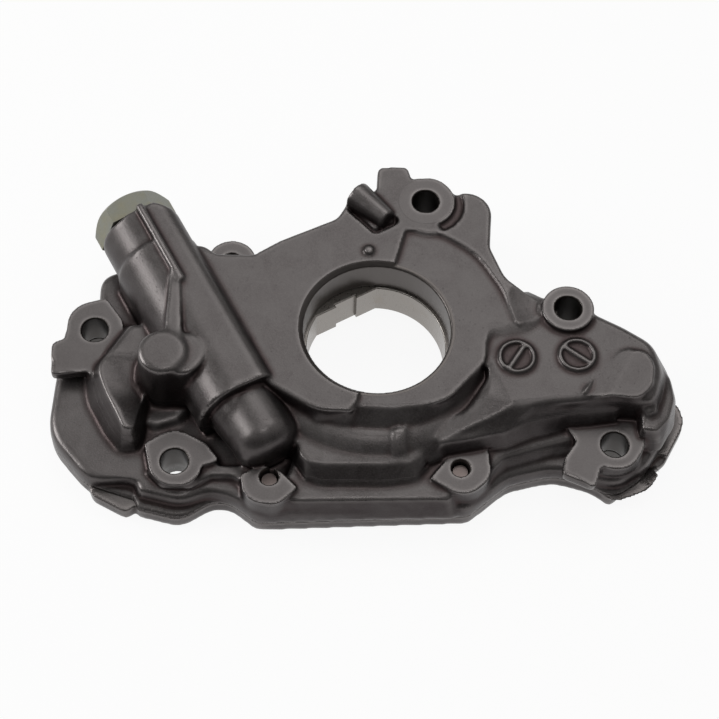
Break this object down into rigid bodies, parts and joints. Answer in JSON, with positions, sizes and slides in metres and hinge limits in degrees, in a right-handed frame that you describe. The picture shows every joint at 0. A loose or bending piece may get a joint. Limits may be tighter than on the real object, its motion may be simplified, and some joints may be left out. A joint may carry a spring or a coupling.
{
  "type": "engine oil pump",
  "caption": "Crank-driven gerotor engine oil pump: die-cast housing, slanting relief-valve barrel with hexagon plug, rotor set and flat rear cover.",
  "frame": {"origin": "crank axis in the rear mounting plane", "axes": "+Z along the crank axis towards the pump's front face, +X towards the inlet end, +Y towards the top mounting pad"},
  "size_m": [0.2068, 0.1225, 0.036],
  "materials": {
    "cast_body": "die-cast, semi-gloss, dark",
    "cast_cover": "die-cast edge, machined faces",
    "sintered_steel": "ground sintered steel",
    "zinc_plug": "pale zinc plate",
    "black_rubber": "matt",
    "valve_steel": "ground",
    "spring_steel": "oil-hardened wire",
    "screw_steel": "zinc plated"
  },
  "bodies": {
    "housing": {"pump_body": "cast_body", "rear_cover": "cast_cover", "relief_plug": "zinc_plug", "plug_o_ring": "black_rubber", "relief_spring": "spring_steel", "cover_screws": "screw_steel", "cover_dowels": "valve_steel"},
    "drive_rotor": {"drive_rotor": "sintered_steel"},
    "driven_rotor": {"driven_rotor": "sintered_steel"},
    "relief_piston": {"relief_piston": "valve_steel"}
  },
  "joints": [
    {"name": "drive_rotor_spin", "type": "hinge", "parent": "housing", "child": "drive_rotor", "pos_m": [0, 0, 0.01175], "axis": [0, 0, 1], "continuous": true},
    {"name": "driven_rotor_spin", "type": "hinge", "parent": "housing", "child": "driven_rotor", "pos_m": [0, 0.003, 0.01175], "axis": [0, 0, 1], "continuous": true},
    {"name": "relief_piston_slide", "type": "slide", "parent": "housing", "child": "relief_piston", "axis": [-0.5, 0.866, 0], "range_m": [0, 0.008], "stiffness_N_per_m": 3000, "springref_m": -0.004, "deforming": ["relief_spring"]}
  ],
  "couplings": [
    {"joint": "driven_rotor_spin", "follows": "drive_rotor_spin", "ratio": 0.9}
  ]
}
